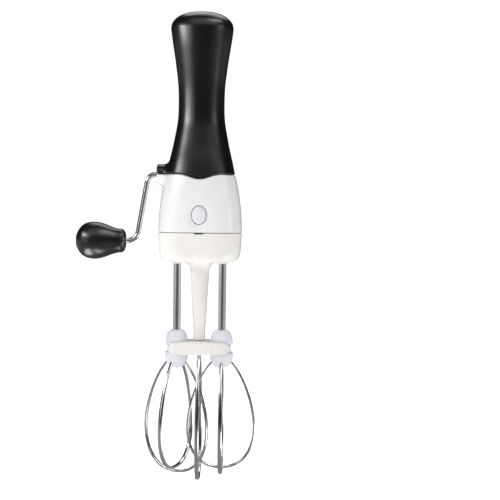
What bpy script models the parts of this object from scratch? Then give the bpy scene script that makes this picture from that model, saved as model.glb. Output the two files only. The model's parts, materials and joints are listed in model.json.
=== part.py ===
"""Hand-crank egg beater with a lift-off beater head, built piece by piece.

Lengths are in millimetres and are turned into metres where a mesh is made.
The origin is on the grip's axis at its waist. X runs along the crank's axle, with the
crank on the -X side, -Y is the front, and +Z points up through the grip.
"""

import math

import bmesh
import bpy
from mathutils import Vector

MM = 0.001
GAP = 0.3

# Heights of the main features along Z.
TOP_Z = 59.0
AXLE_Z = -40.8
SEAM_Z = -76.4
SHELL_BOTTOM_Z = -94.9
TIP_Z = -232.6

# Casing: half widths (X) at a few heights, the depth's share of the width, and the walls.
GRIP_OUTLINE = (
    (-40.8, 21.4), (-24.6, 17.8), (-8.5, 14.7), (4.0, 14.3), (18.0, 14.9), (31.7, 16.8), (46.0, 19.0),
    (52.0, 19.7), (60.0, 20.3),
)
CROWN_HEIGHT = 11.0
CROWN_RISE_POWER = 2.2
CROWN_REACH_POWER = 1.6
TOP_FLAT_RADIUS = 6.5
HOUSING_OUTLINE = (
    (-94.9, 25.0), (-87.5, 25.4), (-76.4, 26.0), (-61.5, 25.2), (-50.0, 23.6), (-40.8, 21.4),
)
GRIP_DEPTH_SHARE = 0.9
SEAM_DEPTH_SHARE = 0.79
WALL = 2.2
CASING_SIDES = 32
TONGUE_DROP = 3.0
TONGUE_HALF_WIDTH = 13.5

# Crank.
AXLE_RADIUS = 1.65
BOSS_RADIUS = 6.4
BOSS_END_X = -27.3
BEARING_RADIUS = 4.1
HUB_RADIUS = 3.0
HUB_HEX = 7.0
CRANK_RADIUS = 41.7
KNOB_PIN_Z = AXLE_Z - CRANK_RADIUS
KNOB_NECK_X = -47.3
KNOB_RADIUS = 11.65
KNOB_DEPTH_SHARE = 0.86

# Gear train.
CROWN_TEETH = 28
PINION_TEETH = 8
MODULE = 0.93
SPINDLE_X = 14.15
TOOTH_THICKNESS = 1.1
TOOTH_ADDENDUM = 0.8 * MODULE
TOOTH_DEDENDUM = 1.05 * MODULE
CROWN_PITCH_RADIUS = CROWN_TEETH * MODULE / 2
PINION_PITCH_RADIUS = PINION_TEETH * MODULE / 2
CROWN_FACE = 2.6
GEAR_BACK_X = 6.3
PINION_TOP_Z = -50.9
PINION_BOTTOM_Z = -58.8

# Drive plate, its four screws, and the couplings below it.
PLATE_TOP_Z = -59.5
PLATE_BOTTOM_Z = -62.5
COLUMN_X = 13.9
COLUMN_Y = 7.5
COLUMN_RADIUS = 2.4
SCREW_RADIUS = 1.2
COUPLING_TOP_Z = -71.0
COUPLING_BOTTOM_Z = -82.0
COUPLING_RADIUS = 4.2
TANG_HEX = 4.0

# Release button and latch.
BUTTON_Z = -65.7
BUTTON_HALF_WIDTH = 4.4
BUTTON_HALF_HEIGHT = 5.45
SPIGOT_TOP_Z = -71.8
CATCH_Z = -73.4

# Stem, cross link and the bushes above and below it, and the clip over each shaft's bush.
CLIP_BOTTOM_Z = -89.6
STEM_FOOT_Z = -144.3
LINK_HALF_LENGTH = 19.8
LINK_HALF_DEPTH = 8.3
LINK_TOP_Z = -144.6
LINK_BOTTOM_Z = -153.2
COLLAR_TOP_Z = -137.9
COLLAR_RIM_Z = -146.9
CARRIER_RIM_Z = -151.6
CARRIER_BOTTOM_Z = -162.2
DOME_RADIUS = 7.2

# Beater wires.
SHAFT_RADIUS = 2.45
BELLY_Z = -198.6
OUTER_LOOP_RADIUS = 21.7
INNER_LOOP_RADIUS = 21.0
CENTRE_LOOP_RADIUS = 21.5
OUTER_LOOP_BOTTOM_Z = -227.7
INNER_LOOP_BOTTOM_Z = -224.8
LOOP_TOP_Z = BELLY_Z + 44.5
LOOP_END_SHARE = 0.945
UPPER_POWER = 1.6
LOWER_POWER = 2.3
CENTRE_LOOP_TOP_Z = -151.2
CENTRE_LOOP_TAIL = 5.2
CENTRE_LOOP_FOOT_Y = 4.7
WIRE_THICKNESS = 1.8
WIRE_WIDTH = 2.8
LEFT_PHASE = math.radians(-24)
RIGHT_PHASE = math.radians(90)


# ---------------------------------------------------------------- materials


def material(name, colour, roughness, metallic=0.0):
    made = bpy.data.materials.new(name)
    made.use_nodes = True
    made.diffuse_color = (*colour, 1.0)
    shader = made.node_tree.nodes["Principled BSDF"]
    shader.inputs["Base Color"].default_value = (*colour, 1.0)
    shader.inputs["Roughness"].default_value = roughness
    shader.inputs["Metallic"].default_value = metallic
    return made


def make_materials():
    return {
        "black": material("black_plastic", (0.012, 0.012, 0.014), 0.28),
        "white": material("white_plastic", (0.83, 0.80, 0.77), 0.22),
        "nylon": material("lilac_white_nylon", (0.76, 0.75, 0.83), 0.55),
        "gear": material("gear_acetal", (0.86, 0.85, 0.80), 0.45),
        "steel": material("polished_steel", (0.62, 0.62, 0.63), 0.18, 1.0),
        "spring": material("spring_steel", (0.50, 0.51, 0.53), 0.30, 1.0),
    }


# ---------------------------------------------------------------- mesh helpers


def empty_at(name, x, y, z):
    """Parent empty on a joint's axis."""
    made = bpy.data.objects.new(name, None)
    made.empty_display_size = 0.01
    made.location = (x * MM, y * MM, z * MM)
    bpy.context.scene.collection.objects.link(made)
    return made


def solid(name, points, faces, finish, pivot=None):
    """A closed mesh object from points in millimetres, hung on its body's empty."""
    base = pivot.location if pivot else Vector((0.0, 0.0, 0.0))
    mesh = bpy.data.meshes.new(name)
    mesh.from_pydata([Vector(point) * MM - base for point in points], [], faces)
    shape = bmesh.new()
    shape.from_mesh(mesh)
    bmesh.ops.recalc_face_normals(shape, faces=shape.faces)
    if shape.calc_volume(signed=True) < 0:
        bmesh.ops.reverse_faces(shape, faces=shape.faces)
    shape.to_mesh(mesh)
    shape.free()
    mesh.shade_smooth()
    mesh.set_sharp_from_angle(angle=math.radians(38))
    made = bpy.data.objects.new(name, mesh)
    bpy.context.scene.collection.objects.link(made)
    if finish:
        mesh.materials.append(finish)
    if pivot:
        made.parent = pivot
    return made


def loft(rings, closed=False):
    """Points and faces of a skin through rings of equal size, capped unless it closes on itself."""
    count = len(rings[0])
    points = [point for ring in rings for point in ring]
    faces = []
    for level in range(len(rings) if closed else len(rings) - 1):
        low = level * count
        high = (level + 1) % len(rings) * count
        for step in range(count):
            after = (step + 1) % count
            faces.append((low + step, low + after, high + after, high + step))
    if not closed:
        faces.append(tuple(range(count)))
        faces.append(tuple(range(len(points) - count, len(points))))
    return points, faces


def around(axis, centre, along, radius, sides, share=1.0):
    """A ring square to the axis. The radius may be a function of the angle."""
    ring = []
    for step in range(sides):
        angle = 2 * math.pi * step / sides
        reach = radius(angle) if callable(radius) else radius
        u = reach * math.cos(angle)
        v = reach * math.sin(angle)
        if axis == "X":
            ring.append((along, centre[1] + u * share, centre[2] + v))
        elif axis == "Y":
            ring.append((centre[0] + u, along, centre[2] + v * share))
        else:
            ring.append((centre[0] + u, centre[1] + v * share, along))
    return ring


def turned(axis, centre, profile, sides=24, closed=False, share=1.0):
    """A body turned about an axis from (radius, place along the axis) pairs."""
    return loft([around(axis, centre, along, radius, sides, share) for radius, along in profile], closed)


def hexagon(across_flats):
    """Radius of a hexagon as a function of the angle."""
    third = math.pi / 3

    def reach(angle):
        return across_flats / 2 / math.cos(angle % third - third / 2)

    return reach


def block(low, high):
    """A box between two corners."""
    ring = [(low[0], low[1]), (high[0], low[1]), (high[0], high[1]), (low[0], high[1])]
    return loft([[(x, y, z) for x, y in ring] for z in (low[2], high[2])])


def combine(target, tool_shape, operation):
    """A Boolean on the target with a tool body, which stays in the file as a wire guide."""
    order = len(target.modifiers)
    tool = solid(f"{target.name}_tool_{order}", *tool_shape, None)
    tool.hide_render = True
    tool.display_type = "WIRE"
    change = target.modifiers.new(f"{operation.lower()}_{order}", "BOOLEAN")
    change.operation = operation
    change.solver = "EXACT"
    change.object = tool
    return target


def cut(target, tool_shape):
    return combine(target, tool_shape, "DIFFERENCE")


def join(target, tool_shape):
    return combine(target, tool_shape, "UNION")


def smooth_value(keys, place):
    """Catmull-Rom value at a place, through (place, value) keys in rising order."""
    last = len(keys) - 1
    index = max(0, min(last - 1, sum(1 for key in keys if key[0] <= place) - 1))
    p1, p2 = keys[index], keys[index + 1]
    p0, p3 = keys[max(index - 1, 0)], keys[min(index + 2, last)]
    span = p2[0] - p1[0]
    t = min(1.0, max(0.0, (place - p1[0]) / span))
    slope1 = (p2[1] - p0[1]) / (p2[0] - p0[0]) * span
    slope2 = (p3[1] - p1[1]) / (p3[0] - p1[0]) * span
    square, cube = t * t, t * t * t
    return (
        p1[1] * (2 * cube - 3 * square + 1)
        + slope1 * (cube - 2 * square + t)
        + p2[1] * (3 * square - 2 * cube)
        + slope2 * (cube - square)
    )


def squircle(half_x, half_y, power, sides, height):
    """A superellipse ring. The height may be a function of the angle."""
    ring = []
    for step in range(sides):
        angle = 2 * math.pi * step / sides
        c, s = math.cos(angle), math.sin(angle)
        x = half_x * math.copysign(abs(c) ** (2 / power), c)
        y = half_y * math.copysign(abs(s) ** (2 / power), s)
        ring.append((x, y, height(x) if callable(height) else height))
    return ring


# ---------------------------------------------------------------- casing


def tongue(offset):
    """Height of the line between grip and housing: level at the sides, with a tongue front and back."""

    def height(x):
        share = min(1.0, abs(x) / TONGUE_HALF_WIDTH)
        return AXLE_Z + offset - TONGUE_DROP * 0.5 * (1 + math.cos(math.pi * share))

    return height


def grip_section(z, inset=0.0):
    """Half width, half depth and squareness of the grip at a height."""
    crown_start = TOP_Z - CROWN_HEIGHT
    half = smooth_value(GRIP_OUTLINE, z)
    if z > crown_start:
        rise = (z - crown_start) / CROWN_HEIGHT
        reach = (1 - rise**CROWN_RISE_POWER) ** (1 / CROWN_REACH_POWER)
        half = TOP_FLAT_RADIUS + (half - TOP_FLAT_RADIUS) * reach
    blend = max(0.0, min(1.0, (z + 10) / (AXLE_Z + 10)))
    return half - inset, half * GRIP_DEPTH_SHARE - inset, 2.2 + 0.4 * blend


def housing_section(z, inset=0.0):
    """Half width, half depth and squareness of the housing at a height."""
    half = smooth_value(HOUSING_OUTLINE, z)
    drop = min(1.0, max(0.0, (AXLE_Z - z) / (AXLE_Z - SEAM_Z)))
    share = GRIP_DEPTH_SHARE + (SEAM_DEPTH_SHARE - GRIP_DEPTH_SHARE) * drop
    return half - inset, half * share - inset, 2.6 + 0.4 * drop


def grip_ring(z, inset, height=None):
    half_x, half_y, power = grip_section(z, inset)
    return squircle(half_x, half_y, power, CASING_SIDES, z if height is None else height)


def housing_ring(z, inset, height=None):
    half_x, half_y, power = housing_section(z, inset)
    return squircle(half_x, half_y, power, CASING_SIDES, z if height is None else height)


def half_boss(start_x, end_x, sign):
    """Half of a bearing boss on the crank's axis: the upper half for +1, the lower for -1."""
    sides = 14
    rings = []
    for x in (start_x, end_x):
        ring = []
        for step in range(sides + 1):
            angle = math.pi * step / sides
            y = BOSS_RADIUS * math.cos(angle)
            z = AXLE_Z + sign * (BOSS_RADIUS * math.sin(angle) + GAP / 2)
            ring.append((x, y, z))
        rings.append(ring)
    return loft(rings)


def axle_bore(start_x, end_x):
    centre = (0, 0, AXLE_Z)
    return turned("X", centre, [(BEARING_RADIUS + GAP, start_x), (BEARING_RADIUS + GAP, end_x)])


def column(x_side, y_side, low, high, rib_end):
    """A screw column and the rib that ties it to the wall."""
    x, y = x_side * COLUMN_X, y_side * COLUMN_Y
    post = turned("Z", (x, y, 0), [(COLUMN_RADIUS, low), (COLUMN_RADIUS, high)], 16)
    near, far = sorted((y, y_side * rib_end))
    rib = block((x - 0.8, near, low + 0.4), (x + 0.8, far, high - 0.4))
    return post, rib


def screw_places():
    return [(x_side, y_side) for x_side in (-1, 1) for y_side in (-1, 1)]


def make_grip(finish):
    """Hollow black grip, closed at the top, with the upper halves of both axle bosses."""
    inner_top = TOP_Z - 3.2
    outer = [58.1, 56.2, 53.0, 48, 40, 31, 20, 4, -9, -20, -31]
    inner = [-31, -9, 8, 31, 46]
    rings = [grip_ring(TOP_Z, 0)] + [grip_ring(z, 0) for z in outer]
    rings.append(grip_ring(AXLE_Z, 0, tongue(GAP / 2)))
    rings.append(grip_ring(AXLE_Z, WALL, tongue(GAP / 2)))
    rings += [grip_ring(z, WALL) for z in inner] + [grip_ring(inner_top, 3.2)]
    grip = solid("grip_shell", *loft(rings), finish)
    join(grip, half_boss(BOSS_END_X, -17.5, 1))
    join(grip, half_boss(14.6, 20.4, 1))
    for x_side, y_side in screw_places():
        post, rib = column(x_side, y_side, AXLE_Z + 0.4, -27.5, 11.0)
        join(grip, post)
        join(grip, rib)
    cut(grip, axle_bore(-40, -12))
    cut(grip, axle_bore(12, 19.2))
    for x_side, y_side in screw_places():
        centre = (x_side * COLUMN_X, y_side * COLUMN_Y, 0)
        radius = SCREW_RADIUS + GAP
        cut(grip, turned("Z", centre, [(radius, -48), (radius, -29.5)], 12))
    return grip


def make_upper_housing(finish):
    """White shell between grip and seam, open at both ends, with the lower halves of the bosses."""
    outer = [-72, -65, -57.5, -50]
    rings = [housing_ring(SEAM_Z, 0)] + [housing_ring(z, 0) for z in outer]
    rings.append(housing_ring(AXLE_Z, 0, tongue(-GAP / 2)))
    rings.append(housing_ring(AXLE_Z, WALL, tongue(-GAP / 2)))
    rings += [housing_ring(z, WALL) for z in reversed(outer)] + [housing_ring(SEAM_Z, WALL)]
    housing = solid("upper_housing", *loft(rings, closed=True), finish)
    join(housing, half_boss(BOSS_END_X, -17.5, -1))
    join(housing, half_boss(14.6, 21.0, -1))
    for x_side, y_side in screw_places():
        post, rib = column(x_side, y_side, PLATE_TOP_Z + GAP, AXLE_Z - 0.4, 14.4)
        join(housing, post)
        join(housing, rib)
    cut(housing, axle_bore(-40, -12))
    cut(housing, axle_bore(12, 19.2))
    for x_side, y_side in screw_places():
        centre = (x_side * COLUMN_X, y_side * COLUMN_Y, 0)
        radius = SCREW_RADIUS + GAP
        cut(housing, turned("Z", centre, [(radius, -65), (radius, -35)], 12))
    centre = (0, 0, BUTTON_Z)
    share = (BUTTON_HALF_HEIGHT + GAP) / (BUTTON_HALF_WIDTH + GAP)
    radius = BUTTON_HALF_WIDTH + GAP
    cut(housing, turned("Y", centre, [(radius, -26), (radius, -12)], 24, share=share))
    return housing


def make_head_shell(finish, pivot):
    """White bowl below the seam with its guide spigot and the stem, one moulding."""
    floor_z = SHELL_BOTTOM_Z + 2.5
    outside = [
        squircle(4.0, 3.8, 2.4, CASING_SIDES, STEM_FOOT_Z),
        squircle(3.6, 3.5, 2.4, CASING_SIDES, STEM_FOOT_Z + 2.2),
        squircle(3.9, 3.7, 2.4, CASING_SIDES, -131.0),
        squircle(4.6, 4.2, 2.4, CASING_SIDES, -118.0),
        squircle(5.5, 4.8, 2.4, CASING_SIDES, -102.0),
        squircle(6.7, 5.7, 2.4, CASING_SIDES, -98.6),
        squircle(8.3, 7.0, 2.4, CASING_SIDES, -96.3),
        squircle(10.3, 8.6, 2.5, CASING_SIDES, SHELL_BOTTOM_Z),
        squircle(19.0, 14.2, 2.8, CASING_SIDES, SHELL_BOTTOM_Z + 0.1),
        squircle(22.6, 17.0, 2.9, CASING_SIDES, SHELL_BOTTOM_Z + 1.4),
        squircle(24.4, 18.6, 3.0, CASING_SIDES, SHELL_BOTTOM_Z + 3.6),
        housing_ring(SHELL_BOTTOM_Z + 7.4, 0),
        housing_ring(SEAM_Z - GAP, 0),
        housing_ring(SEAM_Z, WALL + GAP, SEAM_Z - GAP),
        housing_ring(SPIGOT_TOP_Z, WALL + GAP),
    ]
    inside = [
        housing_ring(SPIGOT_TOP_Z, WALL + GAP + 1.6),
        housing_ring(SEAM_Z, WALL + GAP + 1.6),
        housing_ring(SHELL_BOTTOM_Z + 8.9, WALL + GAP),
        squircle(20.4, 14.8, 2.8, CASING_SIDES, floor_z),
    ]
    shell = solid("head_shell", *loft(outside + inside), finish, pivot)
    for side in (-1, 1):
        centre = (side * SPINDLE_X, 0, 0)
        cut(shell, turned("Z", centre, [(3.3, -100), (3.3, -90)]))
    cut(shell, block((-4.2, -24, CATCH_Z - 1.2), (4.2, -12, CATCH_Z + 1.0)))
    cut(shell, turned("Z", (0, 0, 0), [(1.6, -150), (1.6, -128)], 12))
    cut(shell, block((-2.6, -24, SEAM_Z - GAP - 0.65), (2.6, -15, SEAM_Z + 0.5)))
    return shell


def make_screws(finish):
    for number, (x_side, y_side) in enumerate(screw_places(), 1):
        centre = (x_side * COLUMN_X, y_side * COLUMN_Y, 0)
        head_z = PLATE_BOTTOM_Z - GAP
        head = [(2.1, head_z - 2.0), (2.3, head_z - 1.5), (2.3, head_z)]
        profile = head + [(SCREW_RADIUS, head_z), (SCREW_RADIUS, -31.0), (0.5, -29.9)]
        solid(f"casing_screw_{number}", *turned("Z", centre, profile, 14), finish)


# ---------------------------------------------------------------- crank


def fillet_path(corners, radii, steps=7):
    """A path in the XZ plane through corners, each rounded with its own radius."""
    path = [Vector(corners[0])]
    for index in range(1, len(corners) - 1):
        corner = Vector(corners[index])
        back = (Vector(corners[index - 1]) - corner).normalized()
        ahead = (Vector(corners[index + 1]) - corner).normalized()
        half = back.angle(ahead) / 2
        radius = radii[index - 1]
        reach = radius / math.tan(half)
        centre = corner + (back + ahead).normalized() * (radius / math.sin(half))
        start = (corner + back * reach - centre).normalized()
        end = (corner + ahead * reach - centre).normalized()
        for step in range(steps + 1):
            path.append(centre + start.slerp(end, step / steps) * radius)
    path.append(Vector(corners[-1]))
    return path


def tube(path, radius, sides):
    """A round tube along a path that stays in the XZ plane."""
    rings = []
    for index, point in enumerate(path):
        before = path[max(index - 1, 0)]
        after = path[min(index + 1, len(path) - 1)]
        along = (after - before).normalized()
        across = Vector((-along.z, 0.0, along.x))
        ring = []
        for step in range(sides):
            angle = 2 * math.pi * step / sides
            side = Vector((0, radius * math.sin(angle), 0))
            ring.append(point + across * radius * math.cos(angle) + side)
        rings.append(ring)
    return loft(rings)


def make_crank_rod(finish, pivot):
    """One bent steel rod: the axle, the slanting arm and the knob's pin."""
    arm_top = (-32.6, 0, AXLE_Z)
    arm_bottom = (-39.8, 0, KNOB_PIN_Z)
    corners = [(18.6, 0, AXLE_Z), arm_top, arm_bottom, (-73.6, 0, KNOB_PIN_Z)]
    path = fillet_path(corners, (6.0, 7.0))
    return solid("crank_rod", *tube(path, AXLE_RADIUS, 12), finish, pivot)


def make_crank_hub(finish, pivot):
    """Sleeve fixed on the axle: round in the boss, six-sided under the gears."""
    bore = AXLE_RADIUS + GAP
    hex_side = hexagon(HUB_HEX)
    profile = [(bore, -26.6), (HUB_RADIUS, -26.6), (HUB_RADIUS, -13.0)]
    profile += [(hex_side, -13.0), (hex_side, 12.0), (bore, 12.0)]
    return solid("crank_hub", *turned("X", (0, 0, AXLE_Z), profile, 24, closed=True), finish, pivot)


def tooth_angles(teeth, root_half, tip_half, first):
    """Angles and tip flags around a gear, four to a tooth."""
    places = []
    for tooth in range(teeth):
        middle = first + 2 * math.pi * tooth / teeth
        for offset, tip in ((-root_half, 0), (-tip_half, 1), (tip_half, 1), (root_half, 0)):
            places.append((middle + offset, tip))
    return places


def make_crown_gear(name, side, finish, pivot):
    """Face gear: a disc with teeth on its outer face, which drive the pinion on that side."""
    pressure = math.tan(math.radians(20))
    root_half = (TOOTH_THICKNESS / 2 + TOOTH_DEDENDUM * pressure) / CROWN_PITCH_RADIUS
    tip_half = (TOOTH_THICKNESS / 2 - TOOTH_ADDENDUM * pressure) / CROWN_PITCH_RADIUS
    pitch_x = SPINDLE_X - PINION_PITCH_RADIUS
    levels = (pitch_x - TOOTH_DEDENDUM, pitch_x + TOOTH_ADDENDUM)
    web_x = levels[0] - 0.7
    back_x = GEAR_BACK_X
    bore = hexagon(HUB_HEX + 2 * GAP)
    inner, outer = CROWN_PITCH_RADIUS - CROWN_FACE / 2, CROWN_PITCH_RADIUS + CROWN_FACE / 2
    places = tooth_angles(CROWN_TEETH, root_half, tip_half, -math.pi / 2)
    rings = [[] for _ in range(6)]
    for angle, tip in places:
        c, s = math.cos(angle), math.sin(angle)
        section = (
            (bore(angle), back_x),
            (outer, back_x),
            (outer, levels[tip]),
            (inner, levels[tip]),
            (inner, web_x),
            (bore(angle), web_x),
        )
        for ring, (radius, x) in zip(rings, section):
            ring.append((side * x, radius * c, AXLE_Z + radius * s))
    return solid(name, *loft(rings, closed=True), finish, pivot)


def make_ring(name, axis, centre, inner, outer, start, end, finish, pivot=None, sides=20):
    profile = [(inner, start), (outer, start), (outer, end), (inner, end)]
    return solid(name, *turned(axis, centre, profile, sides, closed=True), finish, pivot)


def make_knob(finish, pivot):
    """Pear-shaped knob, a little flattened, bored for its pin and recessed for the end cap."""
    outline = (
        (0.52, 0.0), (0.60, 0.9), (0.645, 2.9), (0.68, 5.7), (0.78, 8.9), (0.93, 13.7),
        (1.00, 19.7), (0.96, 23.9), (0.80, 27.4), (0.42, 30.1),
    )
    centre = (0, 0, KNOB_PIN_Z)
    profile = [(KNOB_RADIUS * share, KNOB_NECK_X - along) for share, along in outline]
    shape = turned("X", centre, profile, 24, share=KNOB_DEPTH_SHARE)
    knob = solid("crank_knob", *shape, finish, pivot)
    bore = AXLE_RADIUS + GAP
    stepped = [(bore, -40), (bore, -72.2), (3.6, -72.2), (3.6, -80)]
    cut(knob, turned("X", centre, stepped, 16))
    return knob


# ---------------------------------------------------------------- gear train


def make_pinion(name, x, finish, pivot):
    root_half = math.radians(17)
    tip_half = math.radians(4)
    tip = PINION_PITCH_RADIUS + TOOTH_ADDENDUM
    root = PINION_PITCH_RADIUS - TOOTH_DEDENDUM
    places = tooth_angles(PINION_TEETH, root_half, tip_half, math.pi / PINION_TEETH)
    rings = []
    low, high = PINION_BOTTOM_Z, PINION_TOP_Z
    for z, bored in ((low, False), (high, False), (high, True), (low, True)):
        ring = []
        for angle, is_tip in places:
            radius = 1.6 + GAP if bored else (tip if is_tip else root)
            ring.append((x + radius * math.cos(angle), radius * math.sin(angle), z))
        rings.append(ring)
    return solid(name, *loft(rings, closed=True), finish, pivot)


def make_spindle(name, x, finish, pivot):
    """Steel spindle under a pinion, ending in a six-sided socket for the beater shaft's tang."""
    socket = hexagon(TANG_HEX + 2 * GAP)
    profile = [
        (1.6, PINION_TOP_Z - 0.3),
        (1.6, PINION_BOTTOM_Z - GAP),
        (2.4, PINION_BOTTOM_Z - GAP),
        (2.4, COUPLING_TOP_Z),
        (COUPLING_RADIUS, COUPLING_TOP_Z),
        (COUPLING_RADIUS, COUPLING_BOTTOM_Z),
        (socket, COUPLING_BOTTOM_Z),
        (socket, COUPLING_TOP_Z - 1.5),
    ]
    return solid(name, *turned("Z", (x, 0, 0), profile, 24), finish, pivot)


def make_drive_plate(finish):
    """Bearing plate with a long boss for each spindle, four screw holes and a notch for the button."""
    half_x, half_y, power = housing_section(PLATE_TOP_Z, WALL + GAP)
    rings = [squircle(half_x, half_y, power, CASING_SIDES, z) for z in (PLATE_BOTTOM_Z, PLATE_TOP_Z)]
    plate = solid("drive_plate", *loft(rings), finish)
    for side in (-1, 1):
        centre = (side * SPINDLE_X, 0, 0)
        boss = [(COUPLING_RADIUS, -70.4), (COUPLING_RADIUS, PLATE_TOP_Z - 0.5)]
        join(plate, turned("Z", centre, boss, 20))
    for side in (-1, 1):
        centre = (side * SPINDLE_X, 0, 0)
        cut(plate, turned("Z", centre, [(2.4 + GAP, -75), (2.4 + GAP, -55)], 20))
    for x_side, y_side in screw_places():
        centre = (x_side * COLUMN_X, y_side * COLUMN_Y, 0)
        cut(plate, turned("Z", centre, [(SCREW_RADIUS + GAP, -66), (SCREW_RADIUS + GAP, -55)], 12))
    cut(plate, block((-5.4, -22, -66), (5.4, -14.0, -55)))
    return plate


# ---------------------------------------------------------------- button and latch


def make_button(finish, pivot):
    """Oval push button with side ears that keep it in the wall, and a short pusher behind."""
    share = BUTTON_HALF_HEIGHT / BUTTON_HALF_WIDTH
    width = BUTTON_HALF_WIDTH
    profile = [(width * 0.55, -22.0), (width * 0.85, -21.8), (width, -21.2), (width, -16.6)]
    shape = turned("Y", (0, 0, BUTTON_Z), profile, 24, share=share)
    button = solid("release_button", *shape, finish, pivot)
    join(button, block((-6.4, -18.3, BUTTON_Z - 2.7), (6.4, -17.3, BUTTON_Z + 2.7)))
    join(button, turned("Y", (0, 0, BUTTON_Z), [(1.8, -17.0), (1.8, -15.6)], 12))
    return button


def make_latch(finish):
    """Leaf spring behind the button: its hook stands in the window of the head's spigot."""
    leaf_y = -15.2
    thickness = 0.6
    half = 3.2
    hook_y = -17.6
    outline = [
        (leaf_y, PLATE_BOTTOM_Z - GAP),
        (leaf_y, CATCH_Z + 0.4),
        (hook_y, CATCH_Z + 0.4),
        (hook_y, CATCH_Z - 0.3),
        (leaf_y + thickness, CATCH_Z - 0.7),
        (leaf_y + thickness, PLATE_BOTTOM_Z - GAP - thickness),
        (leaf_y + 6.6, PLATE_BOTTOM_Z - GAP - thickness),
        (leaf_y + 6.6, PLATE_BOTTOM_Z - GAP),
    ]
    rings = [[(x, y, z) for y, z in outline] for x in (-half, half)]
    return solid("latch_spring", *loft(rings), finish)


# ---------------------------------------------------------------- head


def link_surface(x, top):
    """Height of the cross link's upper or lower face along its length."""
    share = abs(x) / LINK_HALF_LENGTH
    if top:
        return LINK_TOP_Z - 1.5 * share**2
    return LINK_BOTTOM_Z + 1.9 * share**2


def make_cross_link(finish, pivot):
    """Pillow-shaped cross link with round seats above and below for the bushes."""
    sides = 32
    levels = ((0.0, 1.9), (0.12, 0.7), (0.35, 0.0), (0.65, 0.0), (0.88, 0.7), (1.0, 1.9))
    straight = LINK_HALF_LENGTH - LINK_HALF_DEPTH
    rings = []
    for share, inset in levels:
        ring = []
        for step in range(sides):
            angle = 2 * math.pi * step / sides
            c, s = math.cos(angle), math.sin(angle)
            x = math.copysign(straight, c) * min(1.0, abs(c) * 3) + (LINK_HALF_DEPTH - inset) * c
            y = (LINK_HALF_DEPTH - inset) * s
            low, high = link_surface(x, False), link_surface(x, True)
            ring.append((x, y, low + (high - low) * share))
        rings.append(ring)
    link = solid("cross_link", *loft(rings), finish, pivot)
    for side in (-1, 1):
        centre = (side * SPINDLE_X, 0, 0)
        radius = DOME_RADIUS + GAP
        cut(link, turned("Z", centre, [(radius, COLLAR_RIM_Z - GAP), (radius, -138)], 28))
        cut(link, turned("Z", centre, [(radius, -158), (radius, CARRIER_RIM_Z + GAP)], 28))
        cut(link, turned("Z", centre, [(SHAFT_RADIUS + GAP, -158), (SHAFT_RADIUS + GAP, -138)], 20))
    cut(link, turned("Z", (0, 0, 0), [(4.4, STEM_FOOT_Z - GAP), (4.4, -138)], 20))
    cut(link, turned("Z", (0, 0, 0), [(1.6, -158), (1.6, -138)], 12))
    cut(link, turned("Z", (0, 0, 0), [(2.7, -158), (2.7, -150.8)], 16))
    for side in (-1, 1):
        foot = side * CENTRE_LOOP_FOOT_Y
        cut(link, block((-1.9, foot - 1.3, -158), (1.9, foot + 1.3, -148.2)))
    return link


def make_stem_screw(finish, pivot):
    profile = [(2.1, -152.9), (2.35, -152.5), (2.35, -151.1)]
    profile += [(SCREW_RADIUS, -151.1), (SCREW_RADIUS, -129.8), (0.5, -128.8)]
    return solid("stem_screw", *turned("Z", (0, 0, 0), profile, 14), finish, pivot)


def loop_point(share, radius, top_z, bottom_z, end_share):
    """A point of a wire loop as (reach, height): share runs from 0 at one end to 1 at the other."""
    side = -1 if share < 0.5 else 1
    half = 1 - abs(2 * share - 1)
    split = 0.55
    if half < split:
        rise = (1 - half / split) * end_share
        reach = (1 - rise**UPPER_POWER) ** (1 / UPPER_POWER)
        return side * radius * reach, BELLY_Z + rise * (top_z - BELLY_Z)
    turn = (half - split) / (1 - split) * math.pi / 2
    reach = max(0.0, math.cos(turn)) ** (2 / LOWER_POWER)
    drop = math.sin(turn) ** (2 / LOWER_POWER)
    return side * radius * reach, BELLY_Z - drop * (BELLY_Z - bottom_z)


def make_loop(name, centre_x, phase, radius, top_z, bottom_z, end_share, finish, pivot, tail=0.0):
    """A flattened steel wire bent to a loop in an upright plane, turned about Z by the phase."""
    steps = 34
    flat = [loop_point(step / steps, radius, top_z, bottom_z, end_share) for step in range(steps + 1)]
    if tail:
        flat = [(flat[0][0], flat[0][1] + tail)] + flat + [(flat[-1][0], flat[-1][1] + tail)]
        steps += 2
    plane = Vector((math.cos(phase), math.sin(phase), 0))
    normal = Vector((-math.sin(phase), math.cos(phase), 0))
    up = Vector((0, 0, 1))
    path = [Vector((centre_x, 0, 0)) + plane * reach + up * height for reach, height in flat]
    sides = 8
    rings = []
    for index, point in enumerate(path):
        along = (path[min(index + 1, steps)] - path[max(index - 1, 0)]).normalized()
        across = along.cross(normal)
        share = min(1.0, min(index, steps - index) / (0.2 * steps))
        swell = 0.72 + 0.28 * share
        ring = []
        for step in range(sides):
            angle = 2 * math.pi * (step + 0.5) / sides
            wide = normal * (WIRE_WIDTH / 2 * swell * math.cos(angle))
            thick = across * (WIRE_THICKNESS / 2 * swell * math.sin(angle))
            ring.append(point + wide + thick)
        rings.append(ring)
    return solid(name, *loft(rings), finish, pivot)


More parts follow.
